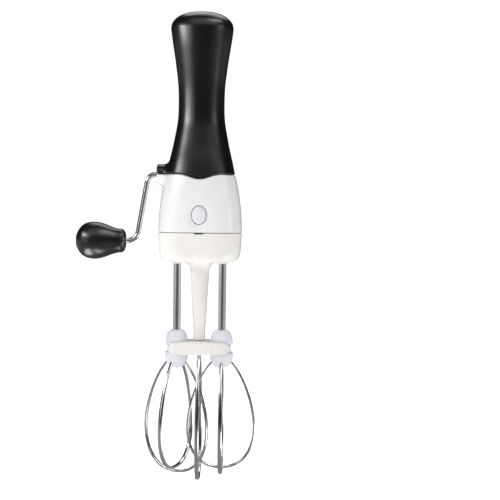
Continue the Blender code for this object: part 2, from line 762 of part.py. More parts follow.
def make_carrier(name, x, phase, finish, pivot):
    """Lower bush: it holds the four wire ends and sits fast on the shaft."""
    rim, bottom = CARRIER_RIM_Z, CARRIER_BOTTOM_Z
    profile = [(DOME_RADIUS, rim), (DOME_RADIUS + 0.1, rim - 2.2)]
    for step in range(1, 6):
        turn = math.pi / 2 * step / 6
        radius = (DOME_RADIUS + 0.1) * math.cos(turn) ** 0.9
        profile.append((radius, rim - 2.2 + (bottom - rim + 2.2) * math.sin(turn)))
    profile.append((0.9, bottom))
    carrier = solid(name, *turned("Z", (x, 0, 0), profile, 24), finish, pivot)
    cut(carrier, turned("Z", (x, 0, 0), [(SHAFT_RADIUS + GAP, -154.6), (SHAFT_RADIUS + GAP, -148)], 20))
    for quarter in range(4):
        angle = phase + quarter * math.pi / 2
        plane = Vector((math.cos(angle), math.sin(angle), 0))
        normal = Vector((-math.sin(angle), math.cos(angle), 0))
        ends = []
        for reach, height in (loop_end(quarter), (11.5, -166.0)):
            ends.append(Vector((x, 0, 0)) + plane * reach + Vector((0, 0, height)))
        along = (ends[1] - ends[0]).normalized()
        start = ends[0] - along * GAP
        across = along.cross(normal)
        rings = []
        for point in (start, ends[1]):
            wide, thick = normal * 1.5, across * 1.25
            near, far = point + thick, point - thick
            rings.append([near + wide, near - wide, far - wide, far + wide])
        cut(carrier, loft(rings))
    return carrier


def loop_end(quarter):
    """Reach and height of a beater loop's own end: even quarters hold the outer loop."""
    radius = OUTER_LOOP_RADIUS if quarter % 2 == 0 else INNER_LOOP_RADIUS
    return loop_point(1.0, radius, LOOP_TOP_Z, OUTER_LOOP_BOTTOM_Z, LOOP_END_SHARE)


def make_shaft(name, x, finish, pivot):
    """Beater shaft: six-sided tang in the spindle's socket, round below, down into the carrier."""
    tang = hexagon(TANG_HEX)
    profile = [(tang, -73.2), (tang, -83.0), (SHAFT_RADIUS, -83.0), (SHAFT_RADIUS, -154.2)]
    return solid(name, *turned("Z", (x, 0, 0), profile, 24), finish, pivot)


def make_collar(name, x, finish, pivot):
    """Upper bush: a domed collar fast on the shaft, above the cross link."""
    bore = SHAFT_RADIUS + GAP
    outline = [
        (bore, COLLAR_TOP_Z), (4.3, COLLAR_TOP_Z), (5.2, -138.5), (6.1, -140.0),
        (6.8, -142.2), (7.1, -144.6), (DOME_RADIUS, COLLAR_RIM_Z), (bore, COLLAR_RIM_Z),
    ]
    return solid(name, *turned("Z", (x, 0, 0), outline, 24, closed=True), finish, pivot)


def make_shaft_bush(name, x, finish, pivot):
    """Flanged bush in the bowl's floor, flange below."""
    bore = SHAFT_RADIUS + GAP
    top, flange, bottom = CLIP_BOTTOM_Z - 1.0, SHELL_BOTTOM_Z - GAP, SHELL_BOTTOM_Z - 1.3
    outline = [(bore, top), (3.0, top), (3.0, flange), (3.5, flange), (3.5, bottom), (bore, bottom)]
    return solid(name, *turned("Z", (x, 0, 0), outline, 24, closed=True), finish, pivot)


def make_beater(side_name, x, phase, finishes, pivot):
    """Everything that turns with one shaft below the seam."""
    centre = (x, 0, 0)
    bore = SHAFT_RADIUS + GAP
    make_shaft(f"{side_name}_shaft", x, finishes["steel"], pivot)
    clip = (CLIP_BOTTOM_Z, CLIP_BOTTOM_Z + 0.8)
    make_ring(f"{side_name}_shaft_clip", "Z", centre, bore, 4.1, *clip, finishes["spring"], pivot)
    make_collar(f"{side_name}_collar", x, finishes["nylon"], pivot)
    make_carrier(f"{side_name}_wire_carrier", x, phase, finishes["nylon"], pivot)
    make_loop(
        f"{side_name}_outer_loop", x, phase, OUTER_LOOP_RADIUS, LOOP_TOP_Z, OUTER_LOOP_BOTTOM_Z,
        LOOP_END_SHARE, finishes["steel"], pivot,
    )
    make_loop(
        f"{side_name}_inner_loop", x, phase + math.pi / 2, INNER_LOOP_RADIUS, LOOP_TOP_Z,
        INNER_LOOP_BOTTOM_Z, LOOP_END_SHARE, finishes["steel"], pivot,
    )


def make_centre_loop(finish, pivot):
    """Fixed guard loop between the beaters, front to back, a little lower than both."""
    bottom_z = TIP_Z + WIRE_THICKNESS / 2
    return make_loop(
        "centre_loop", 0, math.pi / 2, CENTRE_LOOP_RADIUS, CENTRE_LOOP_TOP_Z, bottom_z,
        LOOP_END_SHARE, finish, pivot, CENTRE_LOOP_TAIL,
    )


# ---------------------------------------------------------------- assembly


def clear_scene():
    for item in list(bpy.data.objects):
        bpy.data.objects.remove(item)


def build():
    clear_scene()
    finishes = make_materials()
    crank = empty_at("crank_axis", 0, 0, AXLE_Z)
    knob = empty_at("knob_axis", -62, 0, KNOB_PIN_Z)
    button = empty_at("button_axis", 0, -18, BUTTON_Z)
    head = empty_at("head_axis", 0, 0, SEAM_Z)

    make_grip(finishes["black"])
    make_upper_housing(finishes["white"])
    make_drive_plate(finishes["gear"])
    make_screws(finishes["spring"])
    axle = (0, 0, AXLE_Z)
    rod_bore = AXLE_RADIUS + GAP
    make_ring("boss_bearing", "X", axle, HUB_RADIUS + GAP, BEARING_RADIUS, -27.0, -15.0, finishes["gear"])
    make_ring("end_bearing", "X", axle, rod_bore, BEARING_RADIUS, 14.9, 18.9, finishes["gear"])
    make_latch(finishes["spring"])

    make_crank_rod(finishes["steel"], crank)
    make_crank_hub(finishes["spring"], crank)
    make_crown_gear("left_crown_gear", -1, finishes["gear"], crank)
    make_crown_gear("right_crown_gear", 1, finishes["gear"], crank)
    spacer = (GAP - GEAR_BACK_X, GEAR_BACK_X - GAP)
    spacer_bore = HUB_HEX / math.sqrt(3) + GAP
    make_ring("gear_spacer", "X", axle, spacer_bore, 6.2, *spacer, finishes["gear"], crank)
    make_ring("axle_clip", "X", axle, rod_bore, 3.5, 12.6, 13.4, finishes["spring"], crank)
    pin = (0, 0, KNOB_PIN_Z)
    make_knob(finishes["black"], knob)
    make_ring("knob_pin_clip", "X", pin, rod_bore, 3.1, -73.3, -72.5, finishes["spring"], crank)
    cap = turned("X", pin, [(3.3, -74.2), (3.3, -77.0), (2.7, -77.3)], 20)
    solid("knob_end_cap", *cap, finishes["black"], knob)

    make_button(finishes["nylon"], button)
    make_head_shell(finishes["white"], head)
    make_cross_link(finishes["white"], head)
    make_stem_screw(finishes["spring"], head)
    make_centre_loop(finishes["steel"], head)
    for side_name, x, phase in (("left", -SPINDLE_X, LEFT_PHASE), ("right", SPINDLE_X, RIGHT_PHASE)):
        drive = empty_at(f"{side_name}_spindle_axis", x, 0, PINION_TOP_Z)
        make_pinion(f"{side_name}_pinion", x, finishes["gear"], drive)
        make_spindle(f"{side_name}_spindle", x, finishes["spring"], drive)
        make_shaft_bush(f"{side_name}_shaft_bush", x, finishes["gear"], head)
        beater = empty_at(f"{side_name}_beater_axis", x, 0, COLLAR_TOP_Z)
        make_beater(side_name, x, phase, finishes, beater)


build()
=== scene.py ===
"""Looks of the hand-crank egg beater: smooth final meshes, materials, studio and camera.

Shapes are in millimetres in the model's own frame and are turned into metres where a mesh
is made: the origin is on the grip's axis at its waist, -Y is the front, +Z points up.
Lights, the camera and the shaders' distances are in metres.
Moulded pieces are zero surfaces of distance fields, so that their edges and the fillets
between their parts are round, as on a real moulding.
"""

import json
import math

import bmesh
import bpy
import numpy as np
from mathutils import Matrix, Vector


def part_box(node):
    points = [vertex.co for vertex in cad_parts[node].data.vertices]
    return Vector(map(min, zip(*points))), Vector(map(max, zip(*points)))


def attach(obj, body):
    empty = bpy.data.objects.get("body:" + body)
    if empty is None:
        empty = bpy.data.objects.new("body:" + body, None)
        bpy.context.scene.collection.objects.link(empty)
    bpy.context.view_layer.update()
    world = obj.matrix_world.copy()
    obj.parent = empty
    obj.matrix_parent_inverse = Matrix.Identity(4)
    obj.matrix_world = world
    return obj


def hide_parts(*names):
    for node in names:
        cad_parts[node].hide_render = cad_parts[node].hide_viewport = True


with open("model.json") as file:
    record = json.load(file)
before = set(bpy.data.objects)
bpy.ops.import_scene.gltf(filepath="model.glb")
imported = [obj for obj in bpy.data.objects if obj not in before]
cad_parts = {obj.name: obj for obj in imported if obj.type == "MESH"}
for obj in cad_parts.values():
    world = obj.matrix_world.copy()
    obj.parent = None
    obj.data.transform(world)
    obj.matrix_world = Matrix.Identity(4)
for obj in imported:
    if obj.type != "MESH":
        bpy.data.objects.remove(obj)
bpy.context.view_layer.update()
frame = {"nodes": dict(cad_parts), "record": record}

MM = 0.001


def corner(name, end):
    """The lowest (0) or highest (1) corner of a CAD node in millimetres."""
    return [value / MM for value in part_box(name)[end]]


# Clearance between neighbours, the casing's wall, and heights and places read from the CAD.
GAP = 0.3
WALL = 2.2
TOP_Z = corner("grip_shell", 1)[2]
AXLE_Z = (corner("boss_bearing", 0)[2] + corner("boss_bearing", 1)[2]) / 2
SEAM_Z = corner("upper_housing", 0)[2]
STEM_FOOT_Z = corner("head_shell", 0)[2]
SPIGOT_TOP_Z = corner("head_shell", 1)[2]
SHELL_BOTTOM_Z = SEAM_Z - 18.5
TIP_Z = corner("centre_loop", 0)[2]
SPINDLE_X = (corner("right_shaft", 0)[0] + corner("right_shaft", 1)[0]) / 2

# Casing: half widths (X) at a few heights, and the depth's share of the width.
GRIP_OUTLINE = (
    (-44.0, 22.1), (-40.8, 21.4), (-31.9, 19.5), (-24.6, 17.8), (-16.6, 16.2), (-8.5, 14.8),
    (3.0, 14.25), (14.0, 14.6), (23.0, 15.6), (31.7, 16.8), (39.7, 18.1), (46.0, 19.0),
    (52.0, 19.7), (60.0, 20.3),
)
HOUSING_OUTLINE = (
    (-96.0, 24.9), (-87.5, 25.4), (-76.4, 26.0), (-69.0, 25.8), (-61.5, 25.2), (-50.0, 23.6),
    (-40.0, 21.3),
)
STEM_OUTLINE = (
    (-145.0, 4.0), (-142.0, 3.8), (-131.0, 4.3), (-118.0, 5.0), (-102.0, 5.9), (-88.0, 6.6),
)
CROWN_HEIGHT = 11.0
CROWN_RISE_POWER = 2.2
CROWN_REACH_POWER = 1.6
CROWN_WALL = 3.2
TOP_FLAT_RADIUS = 6.5
GRIP_DEPTH_SHARE = 0.9
SEAM_DEPTH_SHARE = 0.79
STEM_DEPTH_SHARE = 0.92
TOP_FLATTENING = 0.07
FLATTENING_FOOT_Z = 22.0
FLATTENING_RUN = 28.0

# Superellipse powers of the casing's plan: it gets squarer from the waist to the axle and the seam.
WAIST_POWER = 2.2
AXLE_POWER = 2.6
POWER_GAIN = 0.4
SQUARING_TOP_Z = -10.0

# Line between grip and housing, the axle's boss, and the casing screws' columns.
TONGUE_DROP = 3.0
TONGUE_HALF_WIDTH = 13.5
BOSS_RADIUS = 6.4
BOSS_END_X = corner("grip_shell", 0)[0]
BOSS_INNER_X = -12.0
BORE_RADIUS = 4.4
COLUMN_X = 13.9
COLUMN_Y = 7.5
COLUMN_RADIUS = 2.4
COLUMN_TOP_Z = -27.5
COLUMN_FOOT_Z = -59.2
COLUMN_CLEARANCE = 0.4
SCREW_BORE_RADIUS = 1.5
SCREW_BORE_TOP_Z = -29.5
SCREW_BORE_FOOT_Z = -65.0

# Bowl and stem.
BOWL_ROUNDING = 6.5
BOWL_FLOOR = 2.5
STEM_FILLET = 7.0
STEM_TOP_Z = SEAM_Z - 14.0
STEM_BORE_RADIUS = 1.6
STEM_BORE_TOP_Z = -128.0
SHAFT_HOLE_RADIUS = 3.3
CATCH_Z = SEAM_Z + 3.0
CATCH_HALF_WIDTH = 4.2
NOTCH_HALF_WIDTH = 2.6
NOTCH_HEIGHT = 0.95

# Button.
BUTTON_Z = (corner("release_button", 0)[2] + corner("release_button", 1)[2]) / 2
BUTTON_FACE_Y = corner("release_button", 0)[1]
BUTTON_BACK_Y = corner("release_button", 1)[1]
BUTTON_HALF_WIDTH = 4.4
BUTTON_HALF_HEIGHT = 5.45
BUTTON_CROWN = 0.5
BUTTON_PLATE_BACK_Y = -16.6
EAR_HALF_WIDTH = 6.4
EAR_HALF_HEIGHT = 2.7
PUSHER_RADIUS = 1.8
WINDOW_BACK_Y = -12.0
DISH_DEPTH = 0.32
DISH_SPREAD = 1.1

# Cross link and the domed bushes on either side of it.
LINK_HALF_LENGTH = corner("cross_link", 1)[0]
LINK_HALF_DEPTH = 8.3
LINK_CORNER = 5.4
LINK_END_DROP = 0.7
LINK_END_RISE = 1.0
LINK_TOP_Z = corner("cross_link", 1)[2]
LINK_BOTTOM_Z = corner("cross_link", 0)[2]
DOME_RADIUS = 7.2
COLLAR_TOP_Z = corner("left_collar", 1)[2]
COLLAR_RIM_Z = corner("left_collar", 0)[2]
CARRIER_RIM_Z = corner("left_wire_carrier", 1)[2]
CARRIER_BOTTOM_Z = corner("left_wire_carrier", 0)[2]
SOCKET_RADIUS = 4.4
SCREW_HEAD_RADIUS = 2.7
SCREW_HEAD_TOP_Z = -150.8
LOOP_FOOT_Y = 4.7
LOOP_SLOT = (1.9, 1.3)
LOOP_SLOT_TOP_Z = -148.2

# Crank and knob.
AXLE_RADIUS = 1.65
KNOB_PIN_Z = (corner("knob_end_cap", 0)[2] + corner("knob_end_cap", 1)[2]) / 2
ARM_TOP_X = -32.6
ARM_BOTTOM_X = -39.8
ARM_BEND_RADII = (6.0, 7.0)
KNOB_RADIUS = 11.65
KNOB_LENGTH = 29.6
KNOB_DEPTH_SHARE = 0.86

# The knob's radius as a share of its largest, by the distance from its neck.
KNOB_OUTLINE = (
    (0.0, 0.52), (0.8, 0.595), (2.9, 0.645), (5.7, 0.69), (8.9, 0.785), (13.7, 0.935),
    (18.5, 1.0), (22.5, 0.965), (26.0, 0.83), (28.3, 0.62), (KNOB_LENGTH, 0.42),
)

# The domed collar's radius by the distance below its shoulder.
COLLAR_OUTLINE = ((0.0, 4.35), (0.7, 5.35), (2.2, 6.2), (4.4, 6.85), (6.8, 7.1), (8.6, 7.12))

# Beater shafts and wires.
SHAFT_RADIUS = 2.45
TANG_HALF_WIDTH = 2.0
TANG_FOOT_Z = -83.0
BUSH_BORE_RADIUS = SHAFT_RADIUS + 0.1
BELLY_Z = -198.6
OUTER_LOOP_RADIUS = 21.7
INNER_LOOP_RADIUS = 21.0
CENTRE_LOOP_RADIUS = 21.5
OUTER_LOOP_BOTTOM_Z = -227.7
INNER_LOOP_BOTTOM_Z = -224.8
LOOP_TOP_Z = BELLY_Z + 44.5
LOOP_END_SHARE = 0.945
UPPER_POWER = 1.6
LOWER_POWER = 2.3
CENTRE_LOOP_TOP_Z = -151.2
CENTRE_LOOP_TAIL = 5.2
WIRE_THICKNESS = 1.8
WIRE_WIDTH = 2.8
LEFT_PHASE = math.radians(-24)
RIGHT_PHASE = math.radians(90)

# The floor leaves room for the head to come down.
HEAD_TRAVEL = 14.0
FLOOR_CLEARANCE = 2.0


# ---------------------------------------------------------------- fields


def spline(keys):
    """A natural cubic spline through (place, value) keys in rising order."""
    place, value = np.array(keys, float).T
    gap = np.diff(place)
    slope = np.diff(value) / gap
    last = len(place) - 1
    system = np.eye(last + 1)
    right = np.zeros(last + 1)
    for index in range(1, last):
        near, far = gap[index - 1], gap[index]
        system[index, index - 1 : index + 2] = near, 2 * (near + far), far
        right[index] = 6 * (slope[index] - slope[index - 1])
    bend = np.linalg.solve(system, right)

    def at(where):
        where = np.clip(where, place[0], place[-1])
        index = np.clip(np.searchsorted(place, where) - 1, 0, last - 1)
        width = gap[index]
        before = (where - place[index]) / width
        after = 1 - before
        curve = (after**3 - after) * bend[index] + (before**3 - before) * bend[index + 1]
        return after * value[index] + before * value[index + 1] + curve * width**2 / 6

    return at


grip_half = spline(GRIP_OUTLINE)
housing_half = spline(HOUSING_OUTLINE)
stem_half = spline(STEM_OUTLINE)


def join(a, b, soft=0.0):
    """Union of two fields, with a fillet of about that size between them."""
    if not soft:
        return np.minimum(a, b)
    share = np.clip(0.5 + 0.5 * (b - a) / soft, 0, 1)
    return b + (a - b) * share - soft * share * (1 - share)


def common(a, b, soft=0.0):
    """What two fields share, with the edge between them rounded."""
    return -join(-a, -b, soft)


def cut(a, b, soft=0.0):
    """The first field without the second."""
    return common(a, -b, soft)


def squircle(x, y, half_x, half_y, power):
    """Distance from a superellipse, measured along the radius."""
    reach = np.hypot(x, y) + 1e-6
    share = ((np.abs(x) / half_x) ** power + (np.abs(y) / half_y) ** power) ** (1 / power)
    return reach * (1 - 1 / (share + 1e-6))


def rod(u, v, radius):
    """An endless round bar."""
    return np.hypot(u, v) - radius


def slab(along, low, high):
    """What lies between two planes."""
    return np.maximum(low - along, along - high)


def box(x, y, z, low, high):
    """An upright block between two corners."""
    sides = slab(x, low[0], high[0]), slab(y, low[1], high[1]), slab(z, low[2], high[2])
    return np.maximum(np.maximum(sides[0], sides[1]), sides[2])


def tongue(x):
    """Height of the line between grip and housing: level at the sides, with a tongue front and back."""
    share = np.minimum(1.0, np.abs(x) / TONGUE_HALF_WIDTH)
    return AXLE_Z - TONGUE_DROP * 0.5 * (1 + np.cos(np.pi * share))


def grip_outside(x, y, z, inset=0.0, top=None):
    """The grip's body: waisted sides that run into a crown with a small flat top."""
    top = TOP_Z if top is None else top
    half = grip_half(z) - inset
    blend = np.clip((z - SQUARING_TOP_Z) / (AXLE_Z - SQUARING_TOP_Z), 0, 1)
    power = WAIST_POWER + POWER_GAIN * blend
    flattening = TOP_FLATTENING * np.clip((z - FLATTENING_FOOT_Z) / FLATTENING_RUN, 0, 1) ** 2
    depth = grip_half(z) * (GRIP_DEPTH_SHARE - flattening) - inset
    reach = half * ((np.abs(x) / half) ** power + (np.abs(y) / depth) ** power) ** (1 / power)
    rise = np.clip((z - top) / CROWN_HEIGHT + 1, 0, None)
    out = np.clip((reach - TOP_FLAT_RADIUS) / (half - TOP_FLAT_RADIUS), 0, None)
    crown = out**CROWN_REACH_POWER + rise**CROWN_RISE_POWER - 1
    return crown * (half - TOP_FLAT_RADIUS) / CROWN_REACH_POWER


def housing_outside(x, y, z, inset=0.0):
    """The housing's and the bowl's body, flatter front to back towards the seam."""
    half = housing_half(z)
    drop = np.clip((AXLE_Z - z) / (AXLE_Z - SEAM_Z), 0, 1)
    share = GRIP_DEPTH_SHARE + (SEAM_DEPTH_SHARE - GRIP_DEPTH_SHARE) * drop
    return squircle(x, y, half - inset, half * share - inset, AXLE_POWER + POWER_GAIN * drop)


def boss(x, y, z):
    """The round boss that the crank's axle comes out of."""
    return common(rod(y, z - AXLE_Z, BOSS_RADIUS), slab(x, BOSS_END_X, BOSS_INNER_X), 1.0)


def axle_bore(x, y, z):
    """The hole for the axle's bearing, open on the crank's side."""
    return common(rod(y, z - AXLE_Z, BORE_RADIUS), x - BOSS_INNER_X)


def columns(x, y, z, radius, low, high):
    """Four upright bars where the casing screws are."""
    return common(rod(np.abs(x) - COLUMN_X, np.abs(y) - COLUMN_Y, radius), slab(z, low, high))


def screw_bores(x, y, z):
    return columns(x, y, z, SCREW_BORE_RADIUS, SCREW_BORE_FOOT_Z, SCREW_BORE_TOP_Z)


def window(x, z, grow):
    """The button's oval."""
    return squircle(x, z - BUTTON_Z, BUTTON_HALF_WIDTH + grow, BUTTON_HALF_HEIGHT + grow, 2.0)


def grip_field(x, y, z):
    body = join(grip_outside(x, y, z), boss(x, y, z), 3.4)
    body = common(body, tongue(x) + GAP / 2 - z, 0.9)
    body = cut(body, grip_outside(x, y, z, WALL, TOP_Z - CROWN_WALL), 0.6)
    post = columns(x, y, z, COLUMN_RADIUS, AXLE_Z + COLUMN_CLEARANCE, COLUMN_TOP_Z)
    body = join(body, common(post, grip_outside(x, y, z, 1.0)))
    body = cut(body, screw_bores(x, y, z))
    return cut(body, axle_bore(x, y, z), 0.5)


def housing_field(x, y, z):
    """The housing, with a shallow dish round the button's window."""
    oval = window(x, z, 0)
    front = np.clip(-y / 8, 0, 1)
    dish = DISH_DEPTH * np.exp(-((oval - 1.0) / DISH_SPREAD) ** 2) * front
    body = join(housing_outside(x, y, z) + dish, boss(x, y, z), 4.2)
    body = common(body, z - tongue(x) + GAP / 2, 1.3)
    body = common(body, SEAM_Z - z, 0.3)
    body = cut(body, housing_outside(x, y, z, WALL), 0.5)
    post = columns(x, y, z, COLUMN_RADIUS, COLUMN_FOOT_Z, AXLE_Z - COLUMN_CLEARANCE)
    body = join(body, common(post, housing_outside(x, y, z, 1.0)))
    body = cut(body, screw_bores(x, y, z))
    body = cut(body, axle_bore(x, y, z), 0.5)
    return cut(body, common(window(x, z, GAP), y - WINDOW_BACK_Y), 0.35)


def head_field(x, y, z):
    """The bowl with its stem below and, above the seam, the spigot that goes into the housing."""
    bowl = common(housing_outside(x, y, z), SHELL_BOTTOM_Z - z, BOWL_ROUNDING)
    bowl = common(bowl, z - SEAM_Z + GAP, 0.3)
    half = stem_half(z)
    stem = squircle(x, y, half, half * STEM_DEPTH_SHARE, 2.4)
    stem = common(stem, slab(z, STEM_FOOT_Z, STEM_TOP_Z), 0.4)
    body = join(bowl, stem, STEM_FILLET)
    spigot = common(housing_outside(x, y, z, WALL + GAP), slab(z, SEAM_Z - 3, SPIGOT_TOP_Z), 0.4)
    body = join(body, spigot)
    thick = WALL + GAP + 1.6 * np.clip((z - SEAM_Z) / 9 + 1, 0, 1)
    hollow = common(housing_outside(x, y, z, thick), SHELL_BOTTOM_Z + BOWL_FLOOR - z, 3.0)
    body = cut(body, hollow)
    body = cut(body, rod(np.abs(x) - SPINDLE_X, y, SHAFT_HOLE_RADIUS))
    low, high = (-CATCH_HALF_WIDTH, -24, CATCH_Z - 1.2), (CATCH_HALF_WIDTH, -12, CATCH_Z + 1.0)
    body = cut(body, box(x, y, z, low, high))
    low = (-NOTCH_HALF_WIDTH, -24, SEAM_Z - NOTCH_HEIGHT)
    high = (NOTCH_HALF_WIDTH, -15, SEAM_Z + 0.1)
    body = cut(body, box(x, y, z, low, high))
    return cut(body, common(rod(x, y, STEM_BORE_RADIUS), z - STEM_BORE_TOP_Z))


def link_field(x, y, z):
    """Bar with rounded corners and slightly curved faces, hollowed where bushes, stem and wire go in."""
    along = np.abs(x) - LINK_HALF_LENGTH + LINK_CORNER
    across = np.abs(y) - LINK_HALF_DEPTH + LINK_CORNER
    plan = np.hypot(np.maximum(along, 0), np.maximum(across, 0)) - LINK_CORNER
    plan = plan + np.minimum(np.maximum(along, across), 0)
    share = (x / LINK_HALF_LENGTH) ** 2
    body = common(plan, z - LINK_TOP_Z + LINK_END_DROP * share, 1.2)
    body = common(body, LINK_BOTTOM_Z - z + LINK_END_RISE * share, 1.5)
    side = np.abs(x) - SPINDLE_X
    body = cut(body, common(rod(side, y, DOME_RADIUS + GAP), COLLAR_RIM_Z - GAP - z), 0.3)
    body = cut(body, common(rod(side, y, DOME_RADIUS + GAP), z - CARRIER_RIM_Z - GAP), 0.3)
    body = cut(body, rod(side, y, SHAFT_RADIUS + GAP))
    body = cut(body, common(rod(x, y, SOCKET_RADIUS), STEM_FOOT_Z - GAP - z))
    body = cut(body, rod(x, y, STEM_BORE_RADIUS))
    body = cut(body, common(rod(x, y, SCREW_HEAD_RADIUS), z - SCREW_HEAD_TOP_Z))
    wide, deep = LOOP_SLOT
    low, high = (-wide, -deep, LINK_BOTTOM_Z - 4.0), (wide, deep, LOOP_SLOT_TOP_Z)
    return cut(body, box(x, np.abs(y) - LOOP_FOOT_Y, z, low, high))


def button_field(x, y, z):
    """Oval with a crowned face, an ear on each side behind the wall, and a pusher at its back."""
    oval = window(x, z, 0)
    crown = BUTTON_CROWN * np.clip(1 + oval / BUTTON_HALF_WIDTH, 0, 1) ** 2
    body = common(oval, BUTTON_FACE_Y + crown - y, 1.1)
    body = common(body, y - BUTTON_PLATE_BACK_Y)
    low = (-EAR_HALF_WIDTH, -18.3, BUTTON_Z - EAR_HALF_HEIGHT)
    high = (EAR_HALF_WIDTH, -17.3, BUTTON_Z + EAR_HALF_HEIGHT)
    ears = box(x, y, z, low, high)
    pusher = common(rod(x, z - BUTTON_Z, PUSHER_RADIUS), slab(y, -17.0, BUTTON_BACK_Y))
    return join(join(body, ears, 0.3), pusher, 0.3)


# ---------------------------------------------------------------- meshes


def crossed_edges(value, axis):
    """Grid edges along an axis whose two ends lie on different sides of the surface."""
    ahead = np.roll(value, -1, axis)
    crossed = (value < 0) != (ahead < 0)
    crossed[tuple(slice(-1, None) if k == axis else slice(None) for k in range(3))] = False
    place = np.argwhere(crossed)
    near = value[crossed]
    return place, near / (near - ahead[crossed]), near < 0


def settle(field, points, limit, rounds=8):
    """Points moved along the field's slope onto its zero surface, and the outward normals there."""
    step = 0.01
    for _ in range(rounds):
        sides = [field(*(points + d).T) - field(*(points - d).T) for d in np.eye(3) * step]
        slope = np.stack(sides, axis=1) / (2 * step)
        size = np.maximum((slope**2).sum(axis=1), 1e-3)
        shift = np.clip(-field(*points.T) / np.sqrt(size), -limit, limit)
        normal = slope / np.sqrt(size)[:, None]
        points = points + normal * shift[:, None]
    return points, normal


def skin(field, low, high, cell):
    """Points, faces and normals of a field's zero surface, by surface nets.

    Each cell that the surface crosses gets one point, which is then moved onto the surface.
    """
    low = np.array(low, float)
    count = np.ceil((np.array(high, float) - low) / cell).astype(int) + 1
    axes = [low[k] + cell * np.arange(count[k]) for k in range(3)]
    value = field(*np.meshgrid(*axes, indexing="ij"))
    number = np.arange(np.prod(count)).reshape(count)
    total = np.zeros((number.size, 3))
    hits = np.zeros(number.size)
    quads = []
    for axis in range(3):
        place, share, inside = crossed_edges(value, axis)
        second, third = (np.eye(3, dtype=int)[(axis + k) % 3] for k in (1, 2))
        point = place + share[:, None] * np.eye(3)[axis]
        steps = (0 * second, second, second + third, third)
        cells = [number[tuple((place - step).T)] for step in steps]
        for index in cells:
            np.add.at(total, index, point)
            np.add.at(hits, index, 1)
        quad = np.stack(cells, axis=1)
        quad[~inside] = quad[~inside][:, ::-1]
        quads.append(quad)
    used, faces = np.unique(np.concatenate(quads), return_inverse=True)
    faces = faces.reshape(-1, 4)
    points = low + cell * total[used] / hits[used][:, None]
    points, normal = settle(field, points, cell / 2)
    for _ in range(3):
        around = np.zeros_like(points)
        shares = np.zeros(len(points))
        for k in range(4):
            np.add.at(around, faces[:, k], points[faces[:, (k + 1) % 4]] + points[faces[:, k - 1]])
            np.add.at(shares, faces[:, k], 2)
        drift = around / shares[:, None] - points
        drift -= normal * (drift * normal).sum(axis=1)[:, None]
        points, normal = settle(field, points + 0.5 * drift, cell / 2, 3)
    return points, faces, normal


def piece(name, points, faces, finish, body, slot, nodes=(), sharp_angle=None):
    """A finished mesh object from points in millimetres, riding on a body."""
    mesh = bpy.data.meshes.new(name)
    mesh.from_pydata((np.array(points, float) * MM).tolist(), [], [tuple(face) for face in faces])
    shape = bmesh.new()
    shape.from_mesh(mesh)
    bmesh.ops.recalc_face_normals(shape, faces=shape.faces)
    if shape.calc_volume(signed=True) < 0:
        bmesh.ops.reverse_faces(shape, faces=shape.faces)
    shape.to_mesh(mesh)
    shape.free()
    mesh.shade_smooth()
    if sharp_angle:
        mesh.set_sharp_from_angle(angle=math.radians(sharp_angle))
    mesh.materials.append(finish)
    made = bpy.data.objects.new(name, mesh)
    bpy.context.scene.collection.objects.link(made)
    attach(made, body)
    if nodes:
        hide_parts(*nodes)
    return made


def moulded(name, field, node, cell, finish, body, slot):
    """The smooth moulding that stands for a CAD node."""
    low = [value - 2 * cell for value in corner(node, 0)]
    high = [value + 2 * cell for value in corner(node, 1)]
    points, faces, normal = skin(field, low, high, cell)
    made = piece(name, points, faces, finish, body, slot, [node])
    made.data.normals_split_custom_set_from_vertices(normal.tolist())
    return made


def loft(rings, closed=False):
    """Points and faces of a skin through rings of equal size, capped unless it closes on itself."""
    count = len(rings[0])
    points = [tuple(point) for ring in rings for point in ring]
    faces = []
    for level in range(len(rings) if closed else len(rings) - 1):
        low = level * count
        high = (level + 1) % len(rings) * count
        for step in range(count):
            after = (step + 1) % count
            faces.append((low + step, low + after, high + after, high + step))
    if not closed:
        faces.append(tuple(range(count)))
        faces.append(tuple(range(len(points) - count, len(points))))
    return points, faces


def turned(axis, centre, profile, sides=72, closed=True, share=1.0):
    """A body turned about an axis from (radius, place along the axis) pairs."""
    rings = []
    for radius, along in profile:
        ring = []
        for step in range(sides):
            angle = 2 * math.pi * step / sides
            reach = radius(angle) if callable(radius) else radius
            u, v = reach * math.cos(angle), reach * math.sin(angle)
            if axis == "X":
                ring.append((along, centre[1] + u * share, centre[2] + v))
            else:
                ring.append((centre[0] + u, centre[1] + v * share, along))
        rings.append(ring)
    return loft(rings, closed)


def arc(centre, radius, start, end, steps):
    """Points on an arc in a profile's plane, angles in degrees."""
    turns = [math.radians(start + (end - start) * step / steps) for step in range(steps + 1)]
    return [(centre[0] + radius * math.cos(turn), centre[1] + radius * math.sin(turn)) for turn in turns]


# ---------------------------------------------------------------- materials


def node(tree, kind, **inputs):
    """A shader node with its sockets set to values or linked to other sockets."""
    made = tree.nodes.new(f"ShaderNode{kind}")
    for name, value in inputs.items():
        socket = made.inputs[name.replace("_", " ")]
        if isinstance(value, bpy.types.NodeSocket):
            tree.links.new(value, socket)
        else:
            socket.default_value = value
    return made


def noise(tree, where, scale, detail=3.0, stretch=(1.0, 1.0, 1.0)):
    """Noise at so many cells to the metre, drawn out by the stretch."""
    mapped = node(tree, "Mapping", Vector=where, Scale=stretch)
    return node(tree, "TexNoise", Vector=mapped.outputs[0], Scale=scale, Detail=detail).outputs["Fac"]


def levels(tree, value, low, high, start=0.3, end=0.7):
    """The value's middle range stretched to run from low to high."""
    made = node(tree, "MapRange", Value=value, From_Min=start, From_Max=end, To_Min=low, To_Max=high)
    return made.outputs["Result"]


